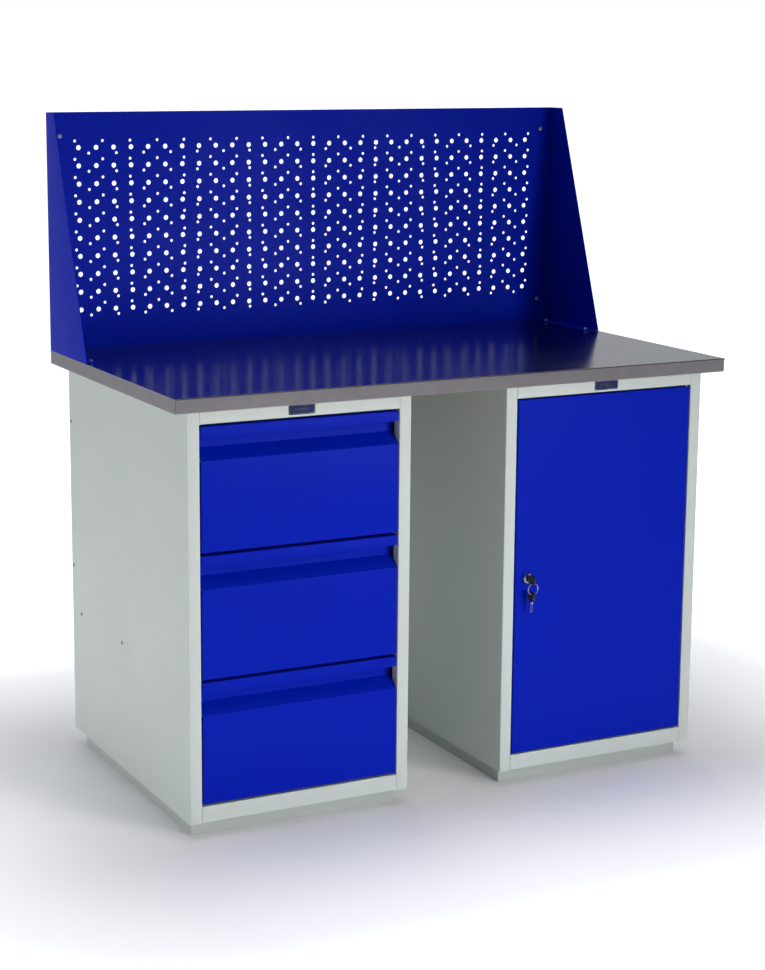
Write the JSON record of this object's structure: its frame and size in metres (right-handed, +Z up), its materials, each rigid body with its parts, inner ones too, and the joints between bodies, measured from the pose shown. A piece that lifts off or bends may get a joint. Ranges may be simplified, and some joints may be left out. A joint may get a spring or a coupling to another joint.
{
  "type": "workbench with drawers",
  "caption": "Steel workbench with a drawer pedestal, a cupboard pedestal, a sheet-covered worktop and a perforated back screen with side cheeks.",
  "frame": {"origin": "on the floor under the middle of the worktop", "axes": "+X to the user's right, +Y to the rear, +Z up; drawers and door open towards -Y"},
  "size_m": [1.2, 0.68, 1.33],
  "materials": {
    "body_grey": "light grey powder coat",
    "plinth_grey": "darker grey powder coat",
    "box_grey": "light grey powder coat",
    "blue_paint": "deep blue powder coat",
    "galvanised": "galvanised sheet, satin",
    "board": "bare fibreboard",
    "zinc": "zinc plated",
    "rivet": "dulled steel rivet",
    "slide_steel": "zinc plated rolled steel",
    "bright_steel": "bright steel",
    "chrome": "chromed zinc",
    "nylon": "natural nylon",
    "key_plastic": "black moulded plastic",
    "badge": "dark blank plate"
  },
  "bodies": {
    "bench": {"blank_plates": "badge", "door_hinge_pins": "bright_steel", "door_pedestal_back": "body_grey", "door_pedestal_floor": "body_grey", "door_pedestal_plinth": "plinth_grey", "door_pedestal_side_left": "body_grey", "door_pedestal_side_right": "body_grey", "door_pedestal_stiles": "body_grey", "door_pedestal_top_plate": "body_grey", "door_pedestal_top_rail": "body_grey", "drawer_1_slide_outer": "slide_steel", "drawer_2_slide_outer": "slide_steel", "drawer_3_slide_outer": "slide_steel", "drawer_pedestal_back": "body_grey", "drawer_pedestal_floor": "body_grey", "drawer_pedestal_plinth": "plinth_grey", "drawer_pedestal_side_left": "body_grey", "drawer_pedestal_side_right": "body_grey", "drawer_pedestal_stiles": "body_grey", "drawer_pedestal_top_plate": "body_grey", "drawer_pedestal_top_rail": "body_grey", "screen_gusset_left": "blue_paint", "screen_gusset_right": "blue_paint", "screen_panel": "blue_paint", "screen_screws": "zinc", "shelf": "body_grey", "shelf_clips": "zinc", "side_rivets": "rivet", "slide_uprights": "slide_steel", "worktop_board": "board", "worktop_cover": "galvanised", "worktop_screws": "zinc"},
    "drawer_1": {"drawer_1_front": "blue_paint", "drawer_1_box": "box_grey", "drawer_1_slide_inner": "slide_steel"},
    "drawer_1_slides": {"drawer_1_slide_middle": "slide_steel", "drawer_1_ball_cages": "bright_steel"},
    "drawer_2": {"drawer_2_front": "blue_paint", "drawer_2_box": "box_grey", "drawer_2_slide_inner": "slide_steel"},
    "drawer_2_slides": {"drawer_2_slide_middle": "slide_steel", "drawer_2_ball_cages": "bright_steel"},
    "drawer_3": {"drawer_3_front": "blue_paint", "drawer_3_box": "box_grey", "drawer_3_slide_inner": "slide_steel"},
    "drawer_3_slides": {"drawer_3_slide_middle": "slide_steel", "drawer_3_ball_cages": "bright_steel"},
    "door": {"door_skin": "blue_paint", "door_stiffener": "body_grey", "door_bushes": "nylon", "lock_body": "chrome", "lock_nut": "zinc"},
    "lock_core": {"lock_plug": "bright_steel", "lock_cam": "zinc", "cam_screw": "zinc"},
    "key": {"key_blade": "bright_steel", "key_head": "key_plastic"},
    "ring": {"key_ring": "bright_steel"},
    "spare_key": {"spare_key_blade": "bright_steel", "spare_key_head": "key_plastic"}
  },
  "joints": [
    {"name": "drawer_1_pull", "type": "slide", "parent": "bench", "child": "drawer_1", "axis": [0, -1, 0], "range_m": [0, 0.48]},
    {"name": "drawer_1_slides_travel", "type": "slide", "parent": "bench", "child": "drawer_1_slides", "axis": [0, -1, 0], "range_m": [0, 0.24]},
    {"name": "drawer_2_pull", "type": "slide", "parent": "bench", "child": "drawer_2", "axis": [0, -1, 0], "range_m": [0, 0.48]},
    {"name": "drawer_2_slides_travel", "type": "slide", "parent": "bench", "child": "drawer_2_slides", "axis": [0, -1, 0], "range_m": [0, 0.24]},
    {"name": "drawer_3_pull", "type": "slide", "parent": "bench", "child": "drawer_3", "axis": [0, -1, 0], "range_m": [0, 0.48]},
    {"name": "drawer_3_slides_travel", "type": "slide", "parent": "bench", "child": "drawer_3_slides", "axis": [0, -1, 0], "range_m": [0, 0.24]},
    {"name": "door_swing", "type": "hinge", "parent": "bench", "child": "door", "pos_m": [0.5325, -0.305, 0.427], "axis": [0, 0, 1], "range_deg": [0, 105]},
    {"name": "lock_turn", "type": "hinge", "parent": "door", "child": "lock_core", "pos_m": [0.162, -0.3, 0.427], "axis": [0, 1, 0], "range_deg": [0, 90]},
    {"name": "key_withdraw", "type": "slide", "parent": "lock_core", "child": "key", "axis": [0, -1, 0], "range_m": [0, 0.03]},
    {"name": "ring_swing", "type": "hinge", "parent": "key", "child": "ring", "pos_m": [0.162, -0.33, 0.4205], "axis": [-1, 0, 0], "range_deg": [-5, 60]},
    {"name": "spare_key_swing", "type": "hinge", "parent": "ring", "child": "spare_key", "pos_m": [0.162, -0.33, 0.3981], "axis": [-1, 0, 0], "range_deg": [-5, 40]}
  ],
  "couplings": [
    {"joint": "drawer_1_slides_travel", "follows": "drawer_1_pull", "ratio": 0.5},
    {"joint": "drawer_2_slides_travel", "follows": "drawer_2_pull", "ratio": 0.5},
    {"joint": "drawer_3_slides_travel", "follows": "drawer_3_pull", "ratio": 0.5}
  ]
}
